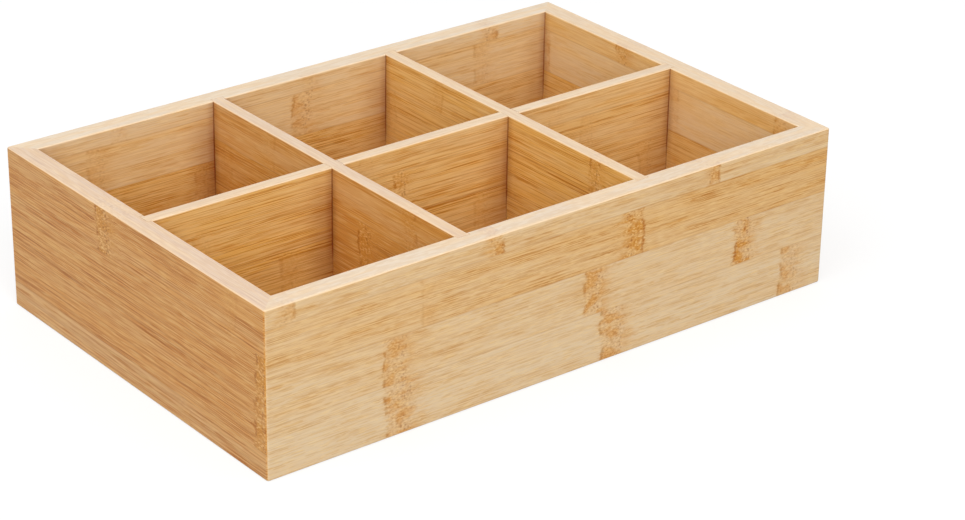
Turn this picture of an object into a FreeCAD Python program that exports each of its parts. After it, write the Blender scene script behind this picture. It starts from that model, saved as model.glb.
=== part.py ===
import FreeCAD, Part
import math
import os
import Sketcher

# An open box of laminated bamboo with six compartments, three along it and two across it.
#
# Millimetres. The origin is the centre of the underside, X runs along the box, Y across it
# towards the back, and Z up. Four mitred walls stand on their own lower edges and hold a floor
# panel in a rabbet. A long divider and two cross dividers stand on that panel, with their ends
# housed in the walls, and are halved into each other. Each wall and divider is glued up from
# bamboo strips that lie one above the other, and each strip is a sub-part of its own.

SIZES = (
    ("box_length", 254.0, "outside, along X"),
    ("box_width", 165.1, "outside, along Y"),
    ("box_height", 63.5, "outside, along Z"),
    ("wall_thickness", 8.4, "each of the four walls"),
    ("divider_thickness", 5.2, "the long divider and the cross dividers"),
    ("housing_depth", 2.0, "a divider's end goes this far into a wall"),
    ("joint_clearance", 0.1, "gap at each side and end of a divider in its joints"),
    ("floor_thickness", 3.0, "the floor panel, and the rabbet's height"),
    ("floor_rabbet", 4.2, "the rabbet goes this far into a wall"),
    ("floor_clearance", 0.2, "gap round the floor panel's edge"),
    ("edge_radius", 0.6, "easing of the top edges and the outer lower edges"),
    ("corner_radius", 1.0, "easing of the upright outer corners"),
    ("strip_width", 18.0, "a full strip, top to bottom"),
    ("front_seam", 6.3, "front wall's middle seam, above the wall's mid-height"),
    ("right_seam", 6.2, "right wall's middle seam, above the wall's mid-height"),
    ("back_seam", 7.6, "back wall's middle seam, above the wall's mid-height"),
    ("left_seam", -3.8, "left wall's middle seam, below the wall's mid-height"),
    ("long_seam", 2.8, "long divider's middle seam, above the divider's mid-height"),
    ("cross_left_seam", -2.7, "left cross divider's middle seam, below the divider's mid-height"),
    ("cross_right_seam", -1.3, "right cross divider's middle seam, below the divider's mid-height"),
)

INNER_LENGTH = "(Sizes.box_length - 2 * Sizes.wall_thickness)"
INNER_WIDTH = "(Sizes.box_width - 2 * Sizes.wall_thickness)"
HALF_DIVIDER = "(Sizes.divider_thickness / 2)"
HALF_GROOVE = "(Sizes.divider_thickness / 2 + Sizes.joint_clearance)"
# Two cross dividers, each this far from the middle, leave three equal compartments along the box.
COMPARTMENT_LENGTH = f"(({INNER_LENGTH} - 2 * Sizes.divider_thickness) / 3)"
CROSS_OFFSET = f"(({COMPARTMENT_LENGTH} + Sizes.divider_thickness) / 2)"
# A divider's end stops a clearance short of the bottom of its housing.
DIVIDER_ENDS = "(2 * (Sizes.housing_depth - Sizes.joint_clearance))"
# The halving joints meet halfway up the dividers.
LAP_HEIGHT = "((Sizes.box_height + Sizes.floor_thickness) / 2)"

# Two lengths closer than this are taken as equal when an edge is looked for.
TOLERANCE = 1e-4


def make_sizes(document):
    """The spreadsheet of driving dimensions."""
    sheet = document.addObject("Spreadsheet::Sheet", "Sizes")
    for row, (alias, value, note) in enumerate(SIZES, start=1):
        sheet.set(f"A{row}", alias)
        sheet.set(f"B{row}", str(value))
        sheet.set(f"C{row}", note)
        sheet.setAlias(f"B{row}", alias)
    document.recompute()
    return sheet


def new_body(document, name):
    return document.addObject("PartDesign::Body", name)


def sketch_on(body, role, name):
    """A sketch on one of the body's own origin planes."""
    sketch = body.newObject("Sketcher::SketchObject", f"{body.Name}_{name}")
    plane = next(feature for feature in body.Origin.OriginFeatures if feature.Role == role)
    sketch.AttachmentSupport = [(plane, "")]
    sketch.MapMode = "FlatFace"
    return sketch


def draw_outline(sketch, name, corners):
    """A closed outline, each corner an (x, y) pair of expressions measured from the origin.

    Sides whose ends share an expression are held upright or level, so each distance is
    dimensioned once.
    """
    points = [FreeCAD.Vector(sketch.evalExpression(x), sketch.evalExpression(y)) for x, y in corners]
    following = points[1:] + points[:1]
    lines = [sketch.addGeometry(Part.LineSegment(*ends), False) for ends in zip(points, following)]
    for line, after in zip(lines, lines[1:] + lines[:1]):
        sketch.addConstraint(Sketcher.Constraint("Coincident", line, 2, after, 1))
    for axis, distance, straight in ((0, "DistanceX", "Vertical"), (1, "DistanceY", "Horizontal")):
        expressions = [corner[axis] for corner in corners]
        for index, line in enumerate(lines):
            expression = expressions[index]
            if expression == expressions[(index + 1) % len(corners)]:
                sketch.addConstraint(Sketcher.Constraint(straight, line))
            if expression in expressions[:index]:
                continue
            seed = points[index][axis]
            constraint = Sketcher.Constraint(distance, -1, 1, line, 1, seed)
            number = sketch.addConstraint(constraint)
            label = f"{name}_{distance}_{index}"
            sketch.renameConstraint(number, label)
            sketch.setExpression(f"Constraints.{label}", expression)


def draw_rectangle(sketch, name, left, right, low, high):
    draw_outline(sketch, name, [(left, low), (right, low), (right, high), (left, high)])


def pad(body, sketch, length, side="One side"):
    """Raise the sketch by an expression's length."""
    feature = body.newObject("PartDesign::Pad", f"{sketch.Name}_pad")
    feature.Profile = sketch
    feature.SideType = side
    feature.setExpression("Length", length)
    body.Document.recompute()


def pocket(body, sketch, length=None, side="One side"):
    """Cut the sketch upwards by an expression's length, or through everything."""
    before = body.Shape.Volume
    feature = body.newObject("PartDesign::Pocket", f"{sketch.Name}_pocket")
    feature.Profile = sketch
    feature.SideType = side
    feature.Reversed = side == "One side"
    if length:
        feature.setExpression("Length", length)
    else:
        feature.Type = "ThroughAll"
    body.Document.recompute()
    if not body.Shape.Volume < before:
        raise ValueError(f"{feature.Name} cuts nothing")


def fillet(body, name, radius, wanted):
    """Round each edge of the body for which wanted(edge) is true."""
    base = body.Tip
    edges = [f"Edge{number}" for number, edge in enumerate(base.Shape.Edges, start=1) if wanted(edge)]
    feature = body.newObject("PartDesign::Fillet", f"{body.Name}_{name}")
    feature.Base = (base, edges)
    feature.setExpression("Radius", radius)
    body.Document.recompute()


def equal(one, other):
    return math.isclose(one, other, abs_tol=TOLERANCE)


def at_height(edge, height):
    """True where the whole edge lies at one height."""
    return equal(edge.BoundBox.ZMin, height) and equal(edge.BoundBox.ZMax, height)


def make_eased_block(document):
    """The assembled box's outside and compartments, with every touched edge eased.

    The edges of the real box are eased after it is glued up, so the easing runs round the
    mitres and stops where the dividers meet. Each piece takes what it shares with this block.
    """
    block = new_body(document, "eased_block")
    plan = sketch_on(block, "XY_Plane", "plan")
    half_length, half_width = "Sizes.box_length / 2", "Sizes.box_width / 2"
    draw_rectangle(plan, "outside", f"-{half_length}", half_length, f"-{half_width}", half_width)
    pad(block, plan, "Sizes.box_height")

    openings = sketch_on(block, "XY_Plane", "openings")
    near, far = f"({CROSS_OFFSET} - {HALF_DIVIDER})", f"({CROSS_OFFSET} + {HALF_DIVIDER})"
    columns = (
        ("left", f"-{INNER_LENGTH} / 2", f"-{far}"),
        ("middle", f"-{near}", near),
        ("right", far, f"{INNER_LENGTH} / 2"),
    )
    rows = (
        ("front", f"-{INNER_WIDTH} / 2", f"-{HALF_DIVIDER}"),
        ("back", HALF_DIVIDER, f"{INNER_WIDTH} / 2"),
    )
    for column, left, right in columns:
        for row, low, high in rows:
            draw_rectangle(openings, f"{row}_{column}", left, right, low, high)
    pocket(block, openings)

    sizes = document.Sizes
    reach_x, reach_y = sizes.box_length / 2, sizes.box_width / 2
    inner_x, inner_y = reach_x - sizes.wall_thickness, reach_y - sizes.wall_thickness

    def is_outer_corner(edge):
        box = edge.BoundBox
        at_corner = equal(abs(box.Center.x), reach_x) and equal(abs(box.Center.y), reach_y)
        return at_corner and equal(box.ZLength, sizes.box_height)

    def is_touched(edge):
        centre = edge.BoundBox.Center
        outside = max(abs(centre.x) - inner_x, abs(centre.y) - inner_y) > TOLERANCE
        return at_height(edge, sizes.box_height) or (at_height(edge, 0) and outside)

    fillet(block, "corners", "Sizes.corner_radius", is_outer_corner)
    fillet(block, "edges", "Sizes.edge_radius", is_touched)
    return block


def make_wall(document, name, turn, span, reach, divider_places):
    """A mitred wall, drawn as the front one and turned about the box's upright axis.

    span is the wall's outer length and reach the box's size across it.
    """
    wall = new_body(document, name)
    end, mitred_end = f"{span} / 2", f"({span} / 2 - Sizes.wall_thickness)"
    outer, inner = f"-{reach} / 2", f"(Sizes.wall_thickness - {reach} / 2)"
    plan = sketch_on(wall, "XY_Plane", "plan")
    corners = [(f"-{end}", outer), (end, outer), (mitred_end, inner), (f"-{mitred_end}", inner)]
    draw_outline(plan, "wall", corners)
    pad(wall, plan, "Sizes.box_height")

    rabbet = sketch_on(wall, "XY_Plane", "rabbet")
    draw_rectangle(rabbet, "rabbet", f"-{end}", end, f"({inner} - Sizes.floor_rabbet)", inner)
    pocket(wall, rabbet, "Sizes.floor_thickness")

    housings = sketch_on(wall, "XY_Plane", "housings")
    for number, place in enumerate(divider_places, start=1):
        left, right = f"({place} - {HALF_GROOVE})", f"({place} + {HALF_GROOVE})"
        low = f"({inner} - Sizes.housing_depth)"
        draw_rectangle(housings, f"housing_{number}", left, right, low, inner)
    pocket(wall, housings)

    wall.Placement = FreeCAD.Placement(FreeCAD.Vector(), FreeCAD.Rotation(FreeCAD.Vector(0, 0, 1), turn))
    return wall


def make_divider(document, name, role, inner_size, notches, notch_low, notch_high):
    """A divider that stands on the floor panel, with a notch at each place for a halving joint."""
    divider = new_body(document, name)
    end = f"({inner_size} + {DIVIDER_ENDS}) / 2"
    side = sketch_on(divider, role, "side")
    draw_rectangle(side, "board", f"-{end}", end, "Sizes.floor_thickness", "Sizes.box_height")
    pad(divider, side, "Sizes.divider_thickness", "Symmetric")

    halving = sketch_on(divider, role, "halving")
    for number, place in enumerate(notches, start=1):
        left, right = f"({place} - {HALF_GROOVE})", f"({place} + {HALF_GROOVE})"
        draw_rectangle(halving, f"notch_{number}", left, right, notch_low, notch_high)
    pocket(divider, halving, side="Symmetric")
    return divider


def make_floor(document):
    """The floor panel, a clearance smaller than the rabbet all round."""
    panel = new_body(document, "floor_panel")
    plan = sketch_on(panel, "XY_Plane", "plan")
    let_in = "Sizes.floor_rabbet - Sizes.floor_clearance"
    half_length, half_width = f"({INNER_LENGTH} / 2 + {let_in})", f"({INNER_WIDTH} / 2 + {let_in})"
    draw_rectangle(plan, "panel", f"-{half_length}", half_length, f"-{half_width}", half_width)
    pad(panel, plan, "Sizes.floor_thickness")
    return panel


def split_into_strips(document, board, block, middle_seam, foot):
    """The board's four strips, counted from the top down to its lower edge at foot.

    A board is ripped from a wide glued panel, so its middle seam falls at a height of its own.
    A full strip lies above and below that seam, and the outer strips are what is left.
    """
    middle = f"((Sizes.box_height + {foot}) / 2 + {middle_seam})"
    seams = [f"({middle} + Sizes.strip_width)", middle, f"({middle} - Sizes.strip_width)"]
    strips = []
    limits = zip(["Sizes.box_height"] + seams, seams + [foot])
    for number, (top, bottom) in enumerate(limits, start=1):
        slab = document.addObject("Part::Box", f"{board.Name}_slab_{number}")
        slab.setExpression("Length", "Sizes.box_length")
        slab.setExpression("Width", "Sizes.box_width")
        slab.setExpression("Height", f"{top} - {bottom}")
        slab.setExpression("Placement.Base.x", "-Sizes.box_length / 2")
        slab.setExpression("Placement.Base.y", "-Sizes.box_width / 2")
        slab.setExpression("Placement.Base.z", bottom)
        strip = document.addObject("Part::MultiCommon", f"{board.Name}_strip_{number}")
        strip.Shapes = [board, block, slab]
        strips.append(strip)
    return strips


def check_and_export(document, subparts):
    """Stop at any failed object; otherwise write each sub-part under its own name."""
    document.recompute()
    for item in document.Objects:
        if {"Invalid", "Error"} & set(item.State):
            raise ValueError(f"{item.Name} failed: {item.State}")
    for item in subparts:
        if item.Shape.isNull() or not item.Shape.isValid() or item.Shape.Volume <= 0:
            raise ValueError(f"{item.Label} has no valid shape")
    os.makedirs("parts", exist_ok=True)
    for item in subparts:
        item.Shape.exportStep(f"parts/{item.Label}.step")
        print(f"{item.Label}: {len(item.Shape.Solids)} solid(s), {item.Shape.Volume / 1000:.2f} cm3")


def main():
    document = FreeCAD.newDocument("bamboo_box")
    make_sizes(document)
    block = make_eased_block(document)
    length, width, foot = "Sizes.box_length", "Sizes.box_width", "Sizes.floor_thickness"
    pair, centre = (f"-{CROSS_OFFSET}", CROSS_OFFSET), ("0",)
    walls = (
        (make_wall(document, "front_wall", 0, length, width, pair), "Sizes.front_seam"),
        (make_wall(document, "right_wall", 90, width, length, centre), "Sizes.right_seam"),
        (make_wall(document, "back_wall", 180, length, width, pair), "Sizes.back_seam"),
        (make_wall(document, "left_wall", 270, width, length, centre), "Sizes.left_seam"),
    )

    # The long divider is notched from above, and the cross dividers drop over it.
    above = (f"({LAP_HEIGHT} - Sizes.joint_clearance)", "Sizes.box_height")
    below = (foot, LAP_HEIGHT)
    long_divider = make_divider(document, "long_divider", "XZ_Plane", INNER_LENGTH, pair, *above)
    cross_left = make_divider(document, "left_cross_divider", "YZ_Plane", INNER_WIDTH, centre, *below)
    cross_right = make_divider(document, "right_cross_divider", "YZ_Plane", INNER_WIDTH, centre, *below)
    cross_left.setExpression("Placement.Base.x", f"-{CROSS_OFFSET}")
    cross_right.setExpression("Placement.Base.x", CROSS_OFFSET)
    dividers = (
        (long_divider, "Sizes.long_seam"),
        (cross_left, "Sizes.cross_left_seam"),
        (cross_right, "Sizes.cross_right_seam"),
    )

    subparts = [make_floor(document)]
    document.recompute()
    for wall, middle_seam in walls:
        subparts += split_into_strips(document, wall, block, middle_seam, "0")
    for divider, middle_seam in dividers:
        subparts += split_into_strips(document, divider, block, middle_seam, foot)
    check_and_export(document, subparts)


main()
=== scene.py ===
"""Bamboo box with six compartments.

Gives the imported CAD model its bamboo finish, and sets the stage, the lamps and the camera.
Lengths are in metres, as in the frame, except where a name or a comment says mm.
"""

import math

import bpy
from mathutils import Matrix, Vector


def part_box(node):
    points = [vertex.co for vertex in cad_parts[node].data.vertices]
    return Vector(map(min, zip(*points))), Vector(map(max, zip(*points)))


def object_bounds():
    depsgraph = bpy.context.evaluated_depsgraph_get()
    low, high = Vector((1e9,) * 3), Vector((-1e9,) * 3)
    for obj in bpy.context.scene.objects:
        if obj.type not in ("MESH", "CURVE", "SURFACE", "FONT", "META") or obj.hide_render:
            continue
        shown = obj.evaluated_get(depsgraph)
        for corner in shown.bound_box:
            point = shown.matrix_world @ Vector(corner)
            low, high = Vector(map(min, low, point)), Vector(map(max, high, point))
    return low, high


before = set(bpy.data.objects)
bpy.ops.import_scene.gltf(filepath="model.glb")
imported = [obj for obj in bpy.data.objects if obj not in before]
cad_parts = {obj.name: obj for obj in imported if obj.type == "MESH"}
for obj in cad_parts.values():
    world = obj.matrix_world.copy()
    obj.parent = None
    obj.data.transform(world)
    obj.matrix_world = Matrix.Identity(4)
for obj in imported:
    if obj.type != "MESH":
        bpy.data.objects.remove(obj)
CAD_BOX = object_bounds()

bl_info = {
    "name": "Bamboo compartment box",
    "version": (1, 0, 0),
    "blender": (4, 5, 0),
    "location": "View3D > Sidebar > Compartment Box",
    "description": "Finishes a six-compartment bamboo box and sets its stage",
    "category": "Object",
}

MM_PER_M = 1000.0
MIX_FACTOR, MIX_A, MIX_B, MIX_RESULT = 0, 6, 7, 2  # the colour sockets of a Mix node
SOCKET_KINDS = {"Grain": "Vector", "Ground": "Color", "Colour": "Color"}

# Every board is glued up from four strips of flat-pressed bamboo. For each board: the
# direction of its grain, how many times longer its marks are drawn than MARKS says, and its
# ground tone. Then for each strip from the top down: how much of that tone it has at its
# - end and at its + end (0 is pale straw), how strong its golden dashes and its dark
# streaks are, and its culm nodes. A node is given as (place along the grain in mm, length
# in mm over which its mottle fades, strength). It stops at its place and fades towards the
# side that the length's sign says.
BOARDS = {
    "front_wall": ("X", 1.0, "golden", (
        ((0.37, 0.4), 0.45, 0.7, ((-28.5, -7.0, 0.8), (71.0, -8.0, 0.7), (-115.0, -8.0, 0.45))),
        ((0.46, 0.8), 0.45, 0.8, ((35.4, -12.0, 1.0), (-63.0, 8.0, 0.2))),
        ((0.32, 0.35), 0.42, 0.75, ((-79.0, 14.0, 0.7), (9.0, 13.0, 0.8), (81.0, 12.0, 1.0))),
        ((0.21, 0.22), 0.42, 0.85, ((-77.8, 15.0, 0.8), (17.6, 15.0, 0.75), (105.8, 13.0, 0.65))),
    )),
    # Its russet ground is partly painted shade.
    "left_wall": ("Y", 2.0, "russet", (
        ((1.0, 1.0), 0.7, 0.75, ((20.5, -12.0, 1.0), (-66.0, 9.0, 0.2))),
        ((1.0, 1.05), 0.7, 0.75, ((-77.0, -9.0, 0.9), (8.0, 9.0, 0.1))),
        ((1.0, 1.0), 0.7, 0.8, ((-76.0, -10.0, 0.9), (46.0, 8.0, 0.1))),
        ((0.85, 0.8), 0.7, 0.8, ((-36.0, 10.0, 0.25),)),
    )),
    # Its upper strips are paler and its lower ones warmer and streakier: partly the bamboo's own
    # tone, and partly painted light, brighter at the top where light falls in.
    "back_wall": ("X", 1.5, "amber", (
        ((0.32, 0.26), 0.42, 0.6, ((94.0, -9.0, 0.6), (-2.0, 9.0, 0.3), (-88.0, 9.0, 0.3))),
        ((0.52, 0.42), 0.46, 0.6, ((-7.0, 13.0, 0.6), (82.0, 11.0, 0.3), (-98.0, 10.0, 0.3))),
        ((1.0, 0.6), 0.56, 0.8, ((38.0, 10.0, 0.4), (-52.0, 10.0, 0.4))),
        ((1.0, 0.72), 0.58, 0.8, ((70.0, -10.0, 0.6), (-20.0, -10.0, 0.6), (-112.0, -9.0, 0.5))),
    )),
    # Its strips are paler than the other amber boards', partly their own tone and partly painted
    # light on its inner face.
    "right_wall": ("Y", 1.5, "amber", (
        ((0.7, 0.72), 0.3, 0.3, ((29.0, -10.0, 0.7), (-62.0, -9.0, 0.5))),
        ((0.45, 0.42), 0.33, 0.3, ((-8.0, 10.0, 0.3), (71.0, 10.0, 0.4))),
        ((0.85, 0.85), 0.42, 0.5, ((48.0, 10.0, 0.5), (-44.0, 10.0, 0.4))),
        ((0.6, 0.6), 0.42, 0.5, ((10.0, -10.0, 0.6), (-74.0, -10.0, 0.6))),
    )),
    "long_divider": ("X", 2.0, "amber", (
        ((0.85, 0.62), 0.54, 0.75, ((58.0, 9.0, 0.2), (-30.0, 9.0, 0.2))),
        ((0.92, 0.66), 0.52, 0.78, ((-15.6, 8.0, 0.7), (74.0, 9.0, 0.2), (-102.0, 9.0, 0.2))),
        ((0.95, 0.7), 0.5, 0.78, ((22.0, 10.0, 0.3), (-66.0, 10.0, 0.3), (104.0, 10.0, 0.3))),
        ((0.85, 0.75), 0.48, 0.6, ((-4.0, 10.0, 0.5), (88.0, 10.0, 0.5))),
    )),
    # Its honey ground is partly painted shade.
    "left_cross_divider": ("Y", 2.0, "honey", (
        ((0.95, 0.82), 0.34, 0.32, ((34.0, 9.0, 0.2), (-52.0, 9.0, 0.4))),
        ((1.1, 1.0), 0.45, 0.5, ((-19.0, -10.0, 0.75), (62.0, 9.0, 0.2))),
        ((1.1, 1.0), 0.45, 0.55, ((-60.0, 9.0, 0.5), (22.0, 9.0, 0.4))),
        ((1.0, 1.0), 0.45, 0.45, ((46.0, 9.0, 0.5), (-38.0, 9.0, 0.5))),
    )),
    "right_cross_divider": ("Y", 2.0, "amber", (
        ((1.0, 0.9), 0.48, 0.6, ((-50.0, -9.0, 0.8), (38.0, 9.0, 0.25))),
        ((1.0, 0.9), 0.48, 0.68, ((-8.0, 9.0, 0.2), (68.0, 9.0, 0.3))),
        ((1.0, 0.9), 0.46, 0.7, ((-58.0, 9.0, 0.6), (26.0, 9.0, 0.4))),
        ((0.85, 0.85), 0.45, 0.6, ((54.0, 9.0, 0.5), (-30.0, 9.0, 0.5))),
    )),
}
STRIPS_PER_BOARD = 4

# The figure's marks, each a noise drawn out along the grain: its length and width in mm,
# its detail, and the noise values at which the mark starts and is full. Fibre bundles are
# 0.3 to 0.4 mm wide, as line, streak and fleck are here. Gap breaks the lines into dashes.
MARKS = {
    "zone": (70.0, 6.5, 1.0, 0.3, 0.7),
    "glow": (17.0, 3.0, 1.0, 0.42, 0.64),
    "line": (60.0, 0.34, 0.0, 0.46, 0.58),
    "gap": (4.5, 0.8, 1.0, 0.4, 0.56),
    "streak": (28.0, 0.36, 0.0, 0.51, 0.6),
    "fleck": (5.0, 0.4, 1.0, 0.5, 0.66),
    "blotch": (6.0, 4.0, 1.0, 0.42, 0.6),
}

# What a culm node draws on its strip; make_node_band says what each one is.
CULM_MARKS = ("Stain", "Band", "Rim", "Chain", "Spread")


def faces_mm(name, axis):
    """Where a piece's two faces lie along an axis, in mm from the box's middle."""
    return [round(corner["XYZ".index(axis)] * MM_PER_M, 3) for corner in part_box(name)]


# What boards meet whose grain runs along X and along Y: the divider that crosses them on the
# + side, and the wall at their + end, each with its two faces. The - side mirrors both.
DIVIDER_MM = {
    "X": faces_mm("right_cross_divider_strip_1", "X"),
    "Y": faces_mm("long_divider_strip_1", "Y"),
}
WALL_MM = {
    "X": faces_mm("right_wall_strip_1", "X"),
    "Y": faces_mm("back_wall_strip_1", "Y"),
}
# How much painted shade a face gets towards its corners, near its - and its + end.
CORNER_SHADES = {"X": (0.55, 0.3), "Y": (0.05, 0.05)}
# The gap where boards meet is painted shade, full this near the corner and gone this far from
# it. The real one is about 0.1 mm wide, and is drawn coarser so that it shows. Two painted
# shades reach further.
GAP_CORE_MM, GAP_EDGE_MM = 0.15, 0.6
NEAR_SHADE_MM, CORNER_SHADE_MM = 4.0, 16.0
# Heights above the ground: a joint is closed up to the first, and stands open from the second
# on. The corner's painted shade is full up to the third, and faintest from the fourth on.
CLOSED_MM, OPEN_MM, DEEP_MM, SHALLOW_MM = 24.0, 34.0, 46.0, 62.0
COVERED_MM = 0.2  # a face that is further inside a board that meets it is covered by it
ARRIS_MM = 0.9  # how wide, at most, the eased arris is that an inner face ends in
# A glue line is full this near the seam, and gone this far from it. The real one is about
# 0.1 mm wide, and is drawn coarser so that it shows.
SEAM_CORE_MM, SEAM_EDGE_MM = 0.1, 0.4
NO_SEAM_MM = 9999.0  # stands for a seam that isn't there, at a board's own edge
FIGURE_SHIFT_MM = (7.31, 3.77, 1.93)  # how far one step of a strip's seed moves its figure
SEEDS = 997  # how many places there are for a strip's figure to start at

# Clear satin lacquer.
LACQUER_IOR = 1.5
LACQUER_SPECULAR_LEVEL = 0.25  # sanded fibres show through it, so it shines less than glass
RELIEF_STRENGTH = 0.6

# The floor panel's strips in mm, and the culm node in each, given as in BOARDS.
PANEL_STRIP_MM = 18.0
PANEL_STRIP_SHIFT_MM = 900.0  # each strip starts somewhere within this length of culm
PANEL_NODE_SPACING_MM = 113.0
PANEL_NODES = ((50.0, 12.0, 0.8),)

# The soft lamps: where each stands, and the side of its square.
KEY_LAMP = ((-0.7, -1.5, 1.1), 1.2)
TOP_LAMP = ((-1.3, -0.2, 1.5), 1.5)
FLOOR_DROP = 0.0001  # keeps the floor's face clear of the box's underside


def linear(hex_colour):
    """Turns an sRGB hex colour into the linear values that shaders use."""
    channels = [int(hex_colour[i : i + 2], 16) / 255.0 for i in (1, 3, 5)]
    return tuple(
        c / 12.92 if c <= 0.04045 else ((c + 0.055) / 1.055) ** 2.4 for c in channels
    )


def colour_property(name, hex_colour, description):
    """A colour that the user can change, given as sRGB hex."""
    return bpy.props.FloatVectorProperty(
        name=name,
        description=description,
        subtype="COLOR",
        size=3,
        min=0.0,
        max=1.0,
        default=linear(hex_colour),
    )


class BambooFinish(bpy.types.PropertyGroup):
    """Colours and grain of the bamboo, and its lacquer."""

    pale: colour_property("Pale ground", "#e0c8a5", "Ground tissue of the palest strips")
    amber: colour_property("Amber ground", "#e5b25f", "Ground tissue of the warmest strips")
    golden: colour_property("Golden ground", "#dda85b", "Ground tissue of golden strips")
    # The russet and honey grounds are partly the bamboo's own redder and deeper tone, and partly
    # painted shade for the left wall and the left cross divider that carry them.
    russet: colour_property("Russet ground", "#d79c56", "Ground tissue of redder strips")
    honey: colour_property("Honey ground", "#d59a4c", "Ground tissue of the deepest strips")
    light: colour_property("Fibre light", "#f3d294", "Light flecks between the fibres")
    gold: colour_property("Fibre gold", "#e5c373", "Tint of the golden fibre bundles")
    streak: colour_property("Streak brown", "#cba02a", "Tint of the thin dark fibre streaks")
    mottle: colour_property("Node mottle", "#cf8f3a", "Golden-brown mottle of a culm node")
    dot: colour_property("Node dots", "#914c0e", "Dark bundle ends in a culm node")
    # The edge grain colour is partly the sawn edge's own paler grain and partly painted sheen for
    # the light that the tops catch. The arris colour is sanded bare wood, paler still as a
    # painted highlight.
    edge: colour_property("Edge grain", "#e8dfd4", "Sawn edges, seen on top of the boards")
    arris: colour_property("Arris", "#efd2aa", "Eased arris, where the edge is sanded bare")
    glue: colour_property("Glue line", "#b27d47", "Thin glue line between two strips")
    # Crevice tints the painted shade in the gap and the corners where boards meet.
    crevice: colour_property("Crevice", "#955010", "Tint of the dark gap where boards meet")
    roughness: bpy.props.FloatProperty(
        name="Lacquer roughness",
        description="Roughness of the sanded, satin-lacquered surface",
        default=0.46,
        min=0.0,
        max=1.0,
        subtype="FACTOR",
    )
    relief_mm: bpy.props.FloatProperty(
        name="Relief (mm)",
        description="Height in millimetres of the fibre relief left by sanding",
        default=0.04,
        min=0.0,
        max=1.0,
    )


class Studio(bpy.types.PropertyGroup):
    """Floor, lamps and camera."""

    floor_colour: colour_property("Floor", "#a3a3a3", "Plain pale studio floor")
    floor_size: bpy.props.FloatProperty(
        name="Floor size",
        description="Side of the square floor",
        default=6.0,
        min=1.0,
        unit="LENGTH",
        subtype="DISTANCE",
    )
    floor_lift: bpy.props.FloatProperty(
        name="Background lift",
        description="Extra white that only the camera and reflections see on the floor",
        default=0.65,
        min=0.0,
        max=1.0,
        subtype="FACTOR",
    )
    sky: bpy.props.FloatProperty(
        name="Sky strength",
        description="Strength of the even white light from all round",
        default=0.69,
        min=0.0,
    )
    key_power: bpy.props.FloatProperty(
        name="Key lamp",
        description="Power of the large soft lamp at the front",
        default=20.2,
        min=0.0,
        unit="POWER",
    )
    top_power: bpy.props.FloatProperty(
        name="Top lamp",
        description="Power of the large soft lamp high on the left",
        default=9.0,
        min=0.0,
        unit="POWER",
    )
    camera_place: bpy.props.FloatVectorProperty(
        name="Camera place",
        description="Where the camera stands",
        size=3,
        subtype="TRANSLATION",
        unit="LENGTH",
        default=(-0.59155, -0.77562, 0.48249),
    )
    camera_turn: bpy.props.FloatVectorProperty(
        name="Camera turn",
        description="The camera's heading, tilt up from straight down, and roll",
        size=3,
        unit="ROTATION",
        default=tuple(math.radians(a) for a in (-38.647, 64.337, 0.922)),
    )
    lens: bpy.props.FloatProperty(
        name="Lens", description="Focal length in millimetres", default=107.86, min=1.0
    )


def add_node(tree, kind, inputs=None, output=0, **settings):
    """Adds one node with its settings and links, and returns one of its outputs.

    Each input is a value, or the output that feeds it. With output=None it returns them all.
    """
    node = tree.nodes.new(kind if kind.startswith("NodeGroup") else "ShaderNode" + kind)
    for name, value in settings.items():
        setattr(node, name, value)
    for name, value in (inputs or {}).items():
        if isinstance(value, bpy.types.NodeSocket):
            tree.links.new(value, node.inputs[name])
        else:
            node.inputs[name].default_value = value
    if output is None or not node.outputs:
        return node.outputs
    return node.outputs[output]


def new_group(name, inputs, outputs):
    """An empty node group with number sockets, except for SOCKET_KINDS, and its inputs."""
    tree = bpy.data.node_groups.new(name, "ShaderNodeTree")
    for direction, labels in (("INPUT", inputs), ("OUTPUT", outputs)):
        for label in labels:
            kind = SOCKET_KINDS.get(label, "Float")
            tree.interface.new_socket(
                label, in_out=direction, socket_type="NodeSocket" + kind
            )
    return tree, add_node(tree, "NodeGroupInput", output=None)


def grain_pattern(tree, vector, length, width, detail):
    """A noise whose cells are this long and wide, in mm, along and across the grain."""
    scaled = add_node(
        tree,
        "VectorMath",
        {0: vector, 1: (1.0 / length, 1.0 / width, 1.0 / width)},
        operation="MULTIPLY",
    )
    return add_node(tree, "TexNoise", {"Vector": scaled, "Scale": 1.0, "Detail": detail})


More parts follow.
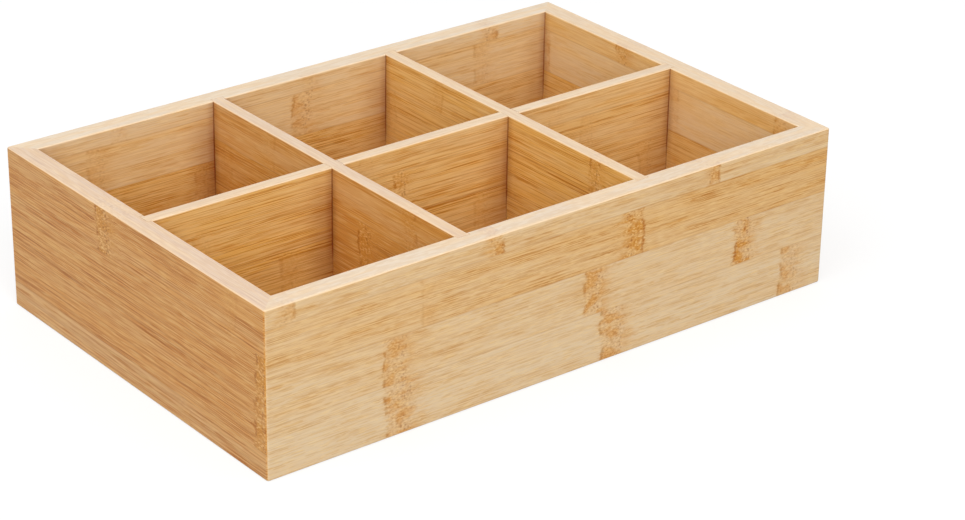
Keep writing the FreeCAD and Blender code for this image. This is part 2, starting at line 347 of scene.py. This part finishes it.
def make_node_band():
    """A culm node: it starts at its place and fades over its length, in uneven flames.

    Stain is the golden tint, Band the short strokes inside it, Rim the thin line at its
    place, Chain the row of dark bundle ends and Spread the wider zone in which the fibres
    wander. Each is joined to what came before.
    """
    so_far = [name + " so far" for name in CULM_MARKS]
    tree, given = new_group(
        "culm_node_band",
        ["Along", "Flame", "Place", "Fade", "Strength", *so_far],
        CULM_MARKS,
    )
    offset = add_node(
        tree, "Math", {0: given["Along"], 1: given["Place"]}, operation="SUBTRACT"
    )
    # 0 at the place, 1 where the mottle has faded, negative on the plain side. Flames push
    # both of its ends out unevenly.
    share = add_node(tree, "Math", {0: offset, 1: given["Fade"]}, operation="DIVIDE")
    uneven = add_node(
        tree, "Math", {0: given["Flame"], 1: 1.1, 2: share}, operation="MULTIPLY_ADD"
    )
    ragged = add_node(
        tree, "Math", {0: given["Flame"], 1: 0.35, 2: share}, operation="MULTIPLY_ADD"
    )
    middle = add_node(tree, "Math", {0: share, 1: 0.5}, operation="SUBTRACT")
    from_middle = add_node(tree, "Math", {0: middle}, operation="ABSOLUTE")
    from_place = add_node(tree, "Math", {0: offset}, operation="ABSOLUTE")
    ridge = add_node(tree, "Math", {0: share, 1: 0.52}, operation="SUBTRACT")
    from_ridge = add_node(tree, "Math", {0: ridge}, operation="ABSOLUTE")
    steps = {}
    for name, value, none, full in (
        ("start", ragged, 0.05, 0.28),
        ("stain end", uneven, 1.9, 0.75),
        ("band end", uneven, 1.6, 0.95),
        ("Rim", from_place, 0.9, 0.3),
        ("Chain", from_ridge, 0.2, 0.08),
        ("Spread", from_middle, 1.1, 0.5),
    ):
        steps[name] = add_node(
            tree,
            "MapRange",
            {"Value": value, "From Min": none, "From Max": full},
            interpolation_type="SMOOTHSTEP",
        )
    for name in ("Stain", "Band"):
        steps[name] = add_node(
            tree,
            "Math",
            {0: steps["start"], 1: steps[name.lower() + " end"]},
            operation="MULTIPLY",
        )
    joined = {}
    for name in CULM_MARKS:
        scaled = add_node(
            tree, "Math", {0: steps[name], 1: given["Strength"]}, operation="MULTIPLY"
        )
        joined[name] = add_node(
            tree, "Math", {0: scaled, 1: given[name + " so far"]}, operation="MAXIMUM"
        )
    add_node(tree, "NodeGroupOutput", joined)
    return tree


def make_crevices():
    """How much painted shade a board's face gets where another board meets it.

    The dark gap is painted shade: the joints are closed below and stand a hair open higher up.
    Fainter, wider painted shades lie in the corner beside the gap, and the widest grows with
    depth.
    """
    tree, given = new_group(
        "board_crevice_shade",
        ["Along", "Height", "Through", "Joint", "Half", "End", "Inner", "Corner"],
        ["Crevice"],
    )
    along = add_node(tree, "Math", {0: given["Along"]}, operation="ABSOLUTE")
    offset = add_node(tree, "Math", {0: along, 1: given["Joint"]}, operation="SUBTRACT")
    offset = add_node(tree, "Math", {0: offset}, operation="ABSOLUTE")
    offset = add_node(tree, "Math", {0: offset, 1: given["Half"]}, operation="SUBTRACT")
    end = add_node(tree, "Math", {0: given["End"], 1: along}, operation="SUBTRACT")
    nearest = add_node(tree, "Math", {0: offset, 1: end}, operation="MINIMUM")
    # Past a joint the distance is negative: that is inside the board that meets this one.
    beyond = add_node(tree, "Math", {0: nearest, 1: -COVERED_MM}, operation="GREATER_THAN")
    gap, shade, corner, height, depth = (
        add_node(
            tree,
            "MapRange",
            {
                "Value": value,
                "From Min": start,
                "From Max": full,
                "To Min": low,
                "To Max": high,
            },
            interpolation_type="SMOOTHSTEP",
        )
        for value, start, full, low, high in (
            (nearest, GAP_EDGE_MM, GAP_CORE_MM, 0.0, 0.32),
            (nearest, NEAR_SHADE_MM, 0.0, 0.0, 0.24),
            (nearest, CORNER_SHADE_MM, 0.0, 0.0, given["Corner"]),
            (given["Height"], CLOSED_MM, OPEN_MM, 0.3, 1.0),
            (given["Height"], SHALLOW_MM, DEEP_MM, 0.3, 1.0),
        )
    )
    dark = add_node(tree, "Math", {0: gap, 1: shade}, operation="ADD")
    dark = add_node(tree, "Math", {0: dark, 1: height}, operation="MULTIPLY")
    corner = add_node(tree, "Math", {0: corner, 1: depth}, operation="MULTIPLY")
    dark = add_node(tree, "Math", {0: dark, 1: corner}, operation="ADD")
    through = add_node(tree, "Math", {0: given["Through"]}, operation="ABSOLUTE")
    inside = add_node(tree, "Math", {0: through, 1: given["Inner"]}, operation="LESS_THAN")
    for mask in (inside, beyond):
        dark = add_node(tree, "Math", {0: dark, 1: mask}, operation="MULTIPLY")
    add_node(tree, "NodeGroupOutput", {"Crevice": dark})
    return tree


def make_figure(finish):
    """The bamboo's figure on a sanded face: colour, roughness and relief.

    Grain is in mm: along the fibres, across the strip, through its thickness.
    """
    tree, given = new_group(
        "bamboo_figure",
        [
            *("Grain", "Stretch", "Ground", "Warmth", "Fibres", "Streaks"),
            *CULM_MARKS,
            *("Seam", "Edge", "Arris", "Crevice"),
        ],
        ["Colour", "Roughness", "Relief"],
    )

    # Fibres run nearly straight, and wander by up to half a millimetre in a culm node.
    drift = grain_pattern(tree, given["Grain"], 150.0, 15.0, 0.0)
    drift = add_node(tree, "Math", {0: drift, 1: 1.6, 2: -0.8}, operation="MULTIPLY_ADD")
    swirl = grain_pattern(tree, given["Grain"], 2.6, 1.8, 1.0)
    swirl = add_node(tree, "Math", {0: swirl, 1: 1.8, 2: -0.9}, operation="MULTIPLY_ADD")
    drift = add_node(
        tree, "Math", {0: swirl, 1: given["Spread"], 2: drift}, operation="MULTIPLY_ADD"
    )
    bend = add_node(tree, "CombineXYZ", {"Y": drift})
    grain = add_node(tree, "VectorMath", {0: given["Grain"], 1: bend}, operation="ADD")
    # Stretch draws every mark out along the grain.
    shorter = add_node(tree, "Math", {0: 1.0, 1: given["Stretch"]}, operation="DIVIDE")
    squeeze = add_node(tree, "CombineXYZ", {"X": shorter, "Y": 1.0, "Z": 1.0})
    drawn_out = add_node(tree, "VectorMath", {0: grain, 1: squeeze}, operation="MULTIPLY")

    marks = {}
    for name, (length, width, detail, start, full) in MARKS.items():
        noise = grain_pattern(tree, drawn_out, length, width, detail)
        marks[name] = add_node(
            tree,
            "MapRange",
            {"Value": noise, "From Min": start, "From Max": full},
            interpolation_type="SMOOTHSTEP",
        )
    # Straight fibre lines, broken up into dashes.
    dashes = add_node(
        tree, "Math", {0: marks["line"], 1: marks["gap"]}, operation="MULTIPLY"
    )

    # Ground: straw to amber, in broad zones along the strip.
    varied = add_node(
        tree, "Math", {0: marks["zone"], 1: 0.16, 2: -0.13}, operation="MULTIPLY_ADD"
    )
    varied = add_node(
        tree, "Math", {0: marks["glow"], 1: 0.12, 2: varied}, operation="MULTIPLY_ADD"
    )
    tone = add_node(
        tree, "Math", {0: given["Warmth"], 1: varied}, operation="ADD", use_clamp=True
    )
    # Golden dashes gather where the ground glows, and give way in a culm node.
    plain = add_node(
        tree, "Math", {0: given["Band"], 1: -0.7, 2: 1.0}, operation="MULTIPLY_ADD"
    )
    dense = add_node(
        tree, "Math", {0: marks["glow"], 1: 0.4, 2: 0.65}, operation="MULTIPLY_ADD"
    )
    dense = add_node(tree, "Math", {0: dense, 1: plain}, operation="MULTIPLY")
    # Dark streaks are stronger where the ground is warmer.
    streaks = add_node(tree, "Math", {0: given["Streaks"], 1: tone}, operation="MULTIPLY")

    # In a culm node: a golden-brown stain, short strokes and rows of dark bundle ends. The
    # ends are really about 1 mm apart, and are drawn about 1.4 mm apart so that they show.
    strokes = grain_pattern(tree, grain, 1.2, 0.6, 1.0)
    ends_per_mm = 0.7
    cells = add_node(
        tree, "VectorMath", {0: grain, 1: (ends_per_mm,) * 3}, operation="MULTIPLY"
    )
    ends = add_node(tree, "TexVoronoi", {"Vector": cells, "Scale": 1.0, "Randomness": 0.7})
    stain = add_node(
        tree, "Math", {0: marks["blotch"], 1: 0.65, 2: 0.35}, operation="MULTIPLY_ADD"
    )
    in_node = {}
    for name, (noise, start, full, where) in {
        "dark": (strokes, 0.52, 0.64, "Band"),
        "light": (strokes, 0.44, 0.33, "Band"),
        "ends": (ends, 0.42, 0.24, "Chain"),
    }.items():
        mark = add_node(
            tree,
            "MapRange",
            {"Value": noise, "From Min": start, "From Max": full},
            interpolation_type="SMOOTHSTEP",
        )
        in_node[name] = add_node(
            tree, "Math", {0: mark, 1: given[where]}, operation="MULTIPLY"
        )

    # Layers over the ground, each with where it lies, how strongly, its colour, and how it
    # goes on: MIX covers what is under it, and MULTIPLY tints it, as thin dark fibres and the
    # painted shade of the crevices do. The sawn edge is paler, partly for its own grain and
    # partly as painted sheen for the light that the tops catch: the same figure shows through
    # faintly, with zones and dashes of its own. The arris is sanded bare, and paler still as a
    # painted highlight.
    colour = add_node(
        tree,
        "Mix",
        {MIX_FACTOR: tone, MIX_A: (*finish.pale, 1.0), MIX_B: given["Ground"]},
        MIX_RESULT,
        data_type="RGBA",
    )
    spots = {}
    for name, where, strength, cover, blend in (
        ("fibre", dashes, (given["Fibres"], dense), finish.gold, "MULTIPLY"),
        ("streak", marks["streak"], (streaks, dense), finish.streak, "MULTIPLY"),
        ("fleck", marks["fleck"], (0.3, 1.0), finish.light, "MIX"),
        ("stain", given["Stain"], (stain, 1.0), finish.mottle, "MIX"),
        ("rim", given["Rim"], (marks["blotch"], 0.7), finish.streak, "MULTIPLY"),
        ("light", in_node["light"], (0.5, 1.0), finish.light, "MIX"),
        ("dark", in_node["dark"], (0.45, 1.0), finish.streak, "MULTIPLY"),
        ("ends", in_node["ends"], (0.5, 1.0), finish.dot, "MIX"),
        ("glue", given["Seam"], (0.25, 1.0), finish.glue, "MIX"),
        ("edge", given["Edge"], (0.55, 1.0), finish.edge, "MIX"),
        ("edge zones", given["Edge"], (marks["glow"], 0.4), finish.arris, "MIX"),
        ("edge dashes", given["Edge"], (marks["gap"], 0.15), finish.gold, "MULTIPLY"),
        ("arris", given["Arris"], (0.6, 1.0), finish.arris, "MIX"),
        ("crevice", given["Crevice"], (1.0, 1.0), finish.crevice, "MULTIPLY"),
    ):
        share = add_node(
            tree, "Math", {0: strength[0], 1: strength[1]}, operation="MULTIPLY"
        )
        spots[name] = add_node(
            tree, "Math", {0: where, 1: share}, operation="MULTIPLY", use_clamp=True
        )
        colour = add_node(
            tree,
            "Mix",
            {MIX_FACTOR: spots[name], MIX_A: colour, MIX_B: (*cover, 1.0)},
            MIX_RESULT,
            data_type="RGBA",
            blend_type=blend,
        )

    rough = add_node(
        tree,
        "Math",
        {0: marks["fleck"], 1: 0.08, 2: finish.roughness - 0.04},
        operation="MULTIPLY_ADD",
    )
    # Sanding leaves the golden fibres proud, and the streaks and bundle ends a little low.
    relief = add_node(
        tree, "Math", {0: spots["fibre"], 1: spots["streak"]}, operation="SUBTRACT"
    )
    relief = add_node(tree, "Math", {0: relief, 1: spots["ends"]}, operation="SUBTRACT")
    add_node(
        tree, "NodeGroupOutput", {"Colour": colour, "Roughness": rough, "Relief": relief}
    )
    return tree


def start_material(name, along, across):
    """A new material, its tree, and its place in mm along, across and through the grain."""
    material = bpy.data.materials.new(name)
    material.use_nodes = True
    tree = material.node_tree
    tree.nodes.clear()
    place = add_node(tree, "TexCoord", output="Object")
    axes = add_node(tree, "SeparateXYZ", {0: place}, output=None)
    through = ({"X", "Y", "Z"} - {along, across}).pop()
    in_mm = [
        add_node(tree, "Math", {0: axes[axis], 1: MM_PER_M}, operation="MULTIPLY")
        for axis in (along, across, through)
    ]
    return material, tree, in_mm


def face_masks(tree, across):
    """How much a face is a sawn edge of its strip, and how much it is an eased arris."""
    normal = add_node(tree, "NewGeometry", output="Normal")
    facing = add_node(tree, "VectorMath", {0: normal}, operation="ABSOLUTE")
    parts = add_node(tree, "SeparateXYZ", {0: facing}, output=None)
    largest = add_node(tree, "Math", {0: parts["X"], 1: parts["Y"]}, operation="MAXIMUM")
    largest = add_node(tree, "Math", {0: largest, 1: parts["Z"]}, operation="MAXIMUM")
    edge, turned, beside = (
        add_node(
            tree,
            "MapRange",
            {"Value": value, "From Min": start, "From Max": full},
            interpolation_type="SMOOTHSTEP",
        )
        for value, start, full in (
            (parts[across], 0.25, 0.7),
            (largest, 0.995, 0.85),
            (parts[across], 0.03, 0.25),
        )
    )
    return edge, add_node(tree, "Math", {0: turned, 1: beside}, operation="MULTIPLY")


def add_culm_nodes(tree, groups, along, grain, nodes):
    """The culm nodes of one strip, each as (place, fade, strength) with its place in mm."""
    # Each node sits a little askew, and its rim is ragged by about half a millimetre.
    bow = grain_pattern(tree, grain, 14.0, 9.0, 0.0)
    rag = grain_pattern(tree, grain, 1.6, 1.0, 2.0)
    askew = add_node(tree, "Math", {0: bow, 1: 3.0, 2: -1.5}, operation="MULTIPLY_ADD")
    ragged = add_node(tree, "Math", {0: rag, 1: 2.0, 2: -1.0}, operation="MULTIPLY_ADD")
    for shift in (askew, ragged):
        along = add_node(tree, "Math", {0: along, 1: shift}, operation="ADD")
    flame = grain_pattern(tree, grain, 9.0, 0.9, 1.0)
    joined = dict.fromkeys(CULM_MARKS, 0.0)
    for place, fade, strength in nodes:
        given = {name + " so far": value for name, value in joined.items()}
        given.update(Along=along, Flame=flame, Place=place, Fade=fade, Strength=strength)
        joined = add_node(tree, "Group", given, output=None, node_tree=groups["band"])
    return joined


def finish_surface(tree, figure, given, finish):
    """Puts the figure under a satin lacquer and ends the material."""
    drawn = add_node(tree, "Group", given, output=None, node_tree=figure)
    bump = add_node(
        tree,
        "Bump",
        {
            "Height": drawn["Relief"],
            "Strength": RELIEF_STRENGTH,
            "Distance": finish.relief_mm / MM_PER_M,
        },
    )
    surface = add_node(
        tree,
        "BsdfPrincipled",
        {
            "Base Color": drawn["Colour"],
            "Roughness": drawn["Roughness"],
            "Normal": bump,
            "IOR": LACQUER_IOR,
            "Specular IOR Level": LACQUER_SPECULAR_LEVEL,
        },
    )
    add_node(tree, "OutputMaterial", {"Surface": surface})


def put_on(name, material):
    """Gives a CAD piece this material and no other."""
    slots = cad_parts[name].data.materials
    slots.clear()
    slots.append(material)


def finish_strip(board, number, axis, stretch, ground, strip, groups, finish):
    """Gives one strip of a board its own piece of bamboo.

    Bamboo strip, flat-pressed, sanded and clear satin lacquered: straight close fibres,
    a mottled band at each culm node, and a soft sheen.
    """
    name = f"{board}_strip_{number}"
    warmth, fibres, streaks, nodes = strip
    material, tree, (along, across, through) = start_material(
        f"lacquered_bamboo_{name}", axis, "Z"
    )
    # Each strip is cut from another part of the culm, so its figure starts elsewhere.
    seed = 1 + sum(ord(letter) * rank for rank, letter in enumerate(name, 3)) % SEEDS
    place = add_node(tree, "CombineXYZ", {"X": along, "Y": across, "Z": through})
    grain = add_node(
        tree,
        "VectorMath",
        {0: place, 1: tuple(seed * shift for shift in FIGURE_SHIFT_MM)},
        operation="ADD",
    )
    culm = add_culm_nodes(tree, groups, along, grain, nodes)

    low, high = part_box(name)
    nearest = NO_SEAM_MM
    for seam, there in ((low[2], number < STRIPS_PER_BOARD), (high[2], number > 1)):
        if there:
            offset = add_node(
                tree, "Math", {0: across, 1: seam * MM_PER_M}, operation="SUBTRACT"
            )
            distance = add_node(tree, "Math", {0: offset}, operation="ABSOLUTE")
            nearest = add_node(
                tree, "Math", {0: distance, 1: nearest}, operation="MINIMUM"
            )
    seam = add_node(
        tree,
        "MapRange",
        {"Value": nearest, "From Min": SEAM_EDGE_MM, "From Max": SEAM_CORE_MM},
        interpolation_type="SMOOTHSTEP",
    )

    inner_face, reach = WALL_MM[axis]
    # Both change evenly from the strip's - end to its + end.
    warmth, corner = (
        add_node(
            tree,
            "MapRange",
            {
                "Value": along,
                "From Min": -reach,
                "From Max": reach,
                "To Min": first,
                "To Max": last,
            },
        )
        for first, last in (warmth, CORNER_SHADES[axis])
    )

    edge, arris = face_masks(tree, "Z")
    near, far = DIVIDER_MM[axis]
    beside = WALL_MM["Y" if axis == "X" else "X"][0]
    given = {"Along": along, "Height": across, "Through": through, "Corner": corner}
    given.update(Joint=(near + far) / 2, Half=(far - near) / 2)
    given.update(End=inner_face, Inner=beside + ARRIS_MM)
    # The painted shade of the gap and the corners where other boards meet this one, kept off its
    # top and bottom faces.
    crevice = add_node(tree, "Group", given, node_tree=groups["crevices"])
    off_edge = add_node(tree, "Math", {0: 1.0, 1: edge}, operation="SUBTRACT")
    crevice = add_node(tree, "Math", {0: crevice, 1: off_edge}, operation="MULTIPLY")

    given = {"Grain": grain, "Stretch": stretch, "Ground": ground, "Warmth": warmth}
    given.update(culm, Fibres=fibres, Streaks=streaks)
    given.update(Seam=seam, Edge=edge, Arris=arris, Crevice=crevice)
    finish_surface(tree, groups["figure"], given, finish)
    put_on(name, material)


def finish_floor_panel(groups, finish):
    """Gives the floor panel its bamboo.

    Bamboo panel, flat-pressed strips, sanded and clear satin lacquered: the same figure as
    on the boards, with a new tone and new node places in each strip.
    """
    material, tree, (along, across, through) = start_material(
        "lacquered_bamboo_floor_panel", "X", "Y"
    )
    count = add_node(tree, "Math", {0: across, 1: PANEL_STRIP_MM}, operation="DIVIDE")
    number = add_node(tree, "Math", {0: count}, operation="FLOOR")
    chance = add_node(tree, "TexWhiteNoise", {"W": number}, noise_dimensions="1D")
    start = add_node(
        tree,
        "Math",
        {0: chance, 1: PANEL_STRIP_SHIFT_MM, 2: along},
        operation="MULTIPLY_ADD",
    )
    grain = add_node(tree, "CombineXYZ", {"X": start, "Y": across, "Z": through})
    repeat = add_node(
        tree, "Math", {0: start, 1: PANEL_NODE_SPACING_MM}, operation="FLOORED_MODULO"
    )
    culm = add_culm_nodes(tree, groups, repeat, grain, PANEL_NODES)
    part = add_node(tree, "Math", {0: count}, operation="FRACT")
    middle = add_node(tree, "Math", {0: part, 1: 0.5}, operation="SUBTRACT")
    middle = add_node(tree, "Math", {0: middle}, operation="ABSOLUTE")
    seam = add_node(
        tree,
        "MapRange",
        {
            "Value": middle,
            "From Min": 0.5 - SEAM_EDGE_MM / PANEL_STRIP_MM,
            "From Max": 0.5 - SEAM_CORE_MM / PANEL_STRIP_MM,
        },
        interpolation_type="SMOOTHSTEP",
    )
    # Each strip's tone is somewhere from 0.3 to 0.8, between straw and amber.
    warmth = add_node(
        tree, "Math", {0: chance, 1: 0.5, 2: 0.3}, operation="MULTIPLY_ADD"
    )
    edge, arris = face_masks(tree, "Y")
    given = {"Grain": grain, "Stretch": 1.5, "Ground": (*finish.amber, 1.0)}
    given.update(culm, Warmth=warmth, Fibres=0.5, Streaks=0.8)
    given.update(Seam=seam, Edge=edge, Arris=arris, Crevice=0.0)
    finish_surface(tree, groups["figure"], given, finish)
    put_on("floor_panel", material)


def shared_groups(finish):
    """The node groups that the strips of one step share, in the colours set now."""
    return {
        "band": make_node_band(),
        "crevices": make_crevices(),
        "figure": make_figure(finish),
    }


def finish_boards(context, names):
    """Finishes every strip of these boards."""
    finish = context.scene.compartment_box_bamboo
    groups = shared_groups(finish)
    for board in names:
        axis, stretch, tone, strips = BOARDS[board]
        ground = (*getattr(finish, tone), 1.0)
        for number, strip in enumerate(strips, 1):
            finish_strip(board, number, axis, stretch, ground, strip, groups, finish)


class COMPARTMENTBOX_OT_walls(bpy.types.Operator):
    """Finishes the strips of the four mitred walls"""

    bl_idname = "compartment_box.walls"
    bl_label = "Finish walls"

    def execute(self, context):
        finish_boards(context, ("front_wall", "left_wall", "back_wall", "right_wall"))
        return {"FINISHED"}


class COMPARTMENTBOX_OT_dividers(bpy.types.Operator):
    """Finishes the strips of the three crossed dividers"""

    bl_idname = "compartment_box.dividers"
    bl_label = "Finish dividers"

    def execute(self, context):
        finish_boards(
            context, ("long_divider", "left_cross_divider", "right_cross_divider")
        )
        return {"FINISHED"}


class COMPARTMENTBOX_OT_floor_panel(bpy.types.Operator):
    """Finishes the thin floor panel, glued up from strips side by side"""

    bl_idname = "compartment_box.floor_panel"
    bl_label = "Finish floor panel"

    def execute(self, context):
        finish = context.scene.compartment_box_bamboo
        finish_floor_panel(shared_groups(finish), finish)
        return {"FINISHED"}


def seen_directly(tree):
    """1 for rays that show the background itself: camera, glossy and transmission rays."""
    rays = add_node(tree, "LightPath", output=None)
    seen = rays["Is Camera Ray"]
    for kind in ("Is Glossy Ray", "Is Transmission Ray"):
        seen = add_node(tree, "Math", {0: seen, 1: rays[kind]}, operation="MAXIMUM")
    return seen


def add_lamp(scene, name, place, size, power):
    """A square soft lamp that faces the box."""
    data = bpy.data.lights.new(name, "AREA")
    data.shape, data.size, data.energy = "SQUARE", size, power
    lamp = bpy.data.objects.new(name, data)
    lamp.location = place
    aim = (CAD_BOX[0] + CAD_BOX[1]) / 2
    lamp.rotation_euler = (aim - Vector(place)).to_track_quat("-Z", "Y").to_euler()
    scene.collection.objects.link(lamp)


def add_floor(scene, studio):
    """A plain floor under the box, which the camera sees as white but for soft shadows."""
    half = studio.floor_size / 2
    mesh = bpy.data.meshes.new("studio_floor")
    mesh.from_pydata(
        [(-half, -half, 0), (half, -half, 0), (half, half, 0), (-half, half, 0)],
        [],
        [(0, 1, 2, 3)],
    )
    ground = bpy.data.objects.new("studio_floor", mesh)
    ground.location.z = CAD_BOX[0][2] - FLOOR_DROP
    scene.collection.objects.link(ground)

    # Painted studio floor, matt: even and white, with the box's own soft shadow on it.
    material = bpy.data.materials.new("matt_paint_studio_floor")
    material.use_nodes = True
    tree = material.node_tree
    tree.nodes.clear()
    matt = add_node(tree, "BsdfDiffuse", {"Color": (*studio.floor_colour, 1.0)})
    strength = add_node(
        tree,
        "Math",
        {0: seen_directly(tree), 1: studio.floor_lift},
        operation="MULTIPLY",
    )
    lift = add_node(tree, "Emission", {"Strength": strength})
    both = add_node(tree, "AddShader", {0: matt, 1: lift})
    add_node(tree, "OutputMaterial", {"Surface": both})
    mesh.materials.append(material)


def add_surround(scene, studio):
    """An even light from all round, which the camera sees as white."""
    world = bpy.data.worlds.new("white_surround")
    world.use_nodes = True
    tree = world.node_tree
    tree.nodes.clear()
    strength = add_node(
        tree,
        "MapRange",
        {"Value": seen_directly(tree), "To Min": studio.sky, "To Max": 1.0},
    )
    sky = add_node(
        tree, "Background", {"Color": (1.0, 1.0, 1.0, 1.0), "Strength": strength}
    )
    add_node(tree, "OutputWorld", {"Surface": sky})
    scene.world = world


def add_camera(scene, studio):
    """The camera, at its place and turn."""
    data = bpy.data.cameras.new("camera")
    data.lens = studio.lens
    data.clip_start = 0.01
    camera = bpy.data.objects.new("camera", data)
    heading, tilt, roll = studio.camera_turn
    camera.matrix_world = (
        Matrix.Translation(Vector(studio.camera_place))
        @ Matrix.Rotation(heading, 4, "Z")
        @ Matrix.Rotation(tilt, 4, "X")
        @ Matrix.Rotation(roll, 4, "Z")
    )
    scene.collection.objects.link(camera)
    scene.camera = camera


class COMPARTMENTBOX_OT_stage(bpy.types.Operator):
    """Sets the pale floor, the soft lamps, the white surround and the camera"""

    bl_idname = "compartment_box.stage"
    bl_label = "Set stage"

    def execute(self, context):
        scene = context.scene
        studio = scene.compartment_box_studio
        add_floor(scene, studio)
        add_surround(scene, studio)
        add_lamp(scene, "key_lamp", *KEY_LAMP, studio.key_power)
        add_lamp(scene, "top_lamp", *TOP_LAMP, studio.top_power)
        add_camera(scene, studio)
        scene.view_settings.view_transform = "Standard"
        return {"FINISHED"}


OPERATORS = (
    COMPARTMENTBOX_OT_walls,
    COMPARTMENTBOX_OT_dividers,
    COMPARTMENTBOX_OT_floor_panel,
    COMPARTMENTBOX_OT_stage,
)


class COMPARTMENTBOX_PT_panel(bpy.types.Panel):
    """Lists the steps and their settings"""

    bl_idname = "COMPARTMENTBOX_PT_panel"
    bl_label = "Compartment box"
    bl_space_type = "VIEW_3D"
    bl_region_type = "UI"
    bl_category = "Compartment Box"

    def draw(self, context):
        for operator in OPERATORS:
            self.layout.operator(operator.bl_idname)
        for settings in (
            context.scene.compartment_box_bamboo,
            context.scene.compartment_box_studio,
        ):
            box = self.layout.box()
            for name in settings.__annotations__:
                box.prop(settings, name)


CLASSES = (BambooFinish, Studio, *OPERATORS, COMPARTMENTBOX_PT_panel)


def register():
    for cls in CLASSES:
        bpy.utils.register_class(cls)
    bpy.types.Scene.compartment_box_bamboo = bpy.props.PointerProperty(type=BambooFinish)
    bpy.types.Scene.compartment_box_studio = bpy.props.PointerProperty(type=Studio)


def unregister():
    del bpy.types.Scene.compartment_box_studio
    del bpy.types.Scene.compartment_box_bamboo
    for cls in reversed(CLASSES):
        bpy.utils.unregister_class(cls)


def main():
    register()
    bpy.ops.compartment_box.walls()
    bpy.ops.compartment_box.dividers()
    bpy.ops.compartment_box.floor_panel()
    bpy.ops.compartment_box.stage()


if __name__ == "__main__":
    main()
